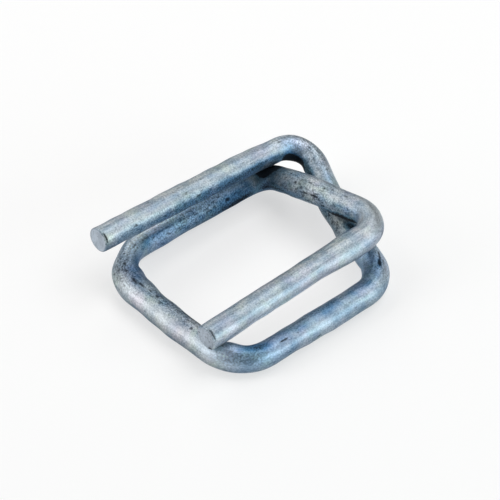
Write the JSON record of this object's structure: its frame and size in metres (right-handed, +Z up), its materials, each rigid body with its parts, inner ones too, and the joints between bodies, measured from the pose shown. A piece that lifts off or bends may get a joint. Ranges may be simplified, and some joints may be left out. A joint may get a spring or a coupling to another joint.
{
  "type": "strapping buckle",
  "caption": "Strapping buckle bent from round galvanised wire: a flat base loop whose ends cross over each other and return above it as prongs that grip a strap.",
  "frame": {"origin": "middle of the buckle's box, on the floor that its base loop lies on", "axes": "+X along the strap bars from the cut tips to the crossing legs, +Y from the front bar to the back bar, +Z up"},
  "size_m": [0.0348, 0.0292, 0.0088],
  "materials": {
    "galvanised_wire": "satin zinc coating, finely mottled"
  },
  "bodies": {
    "root": {"wire_buckle": "galvanised_wire"}
  },
  "joints": []
}
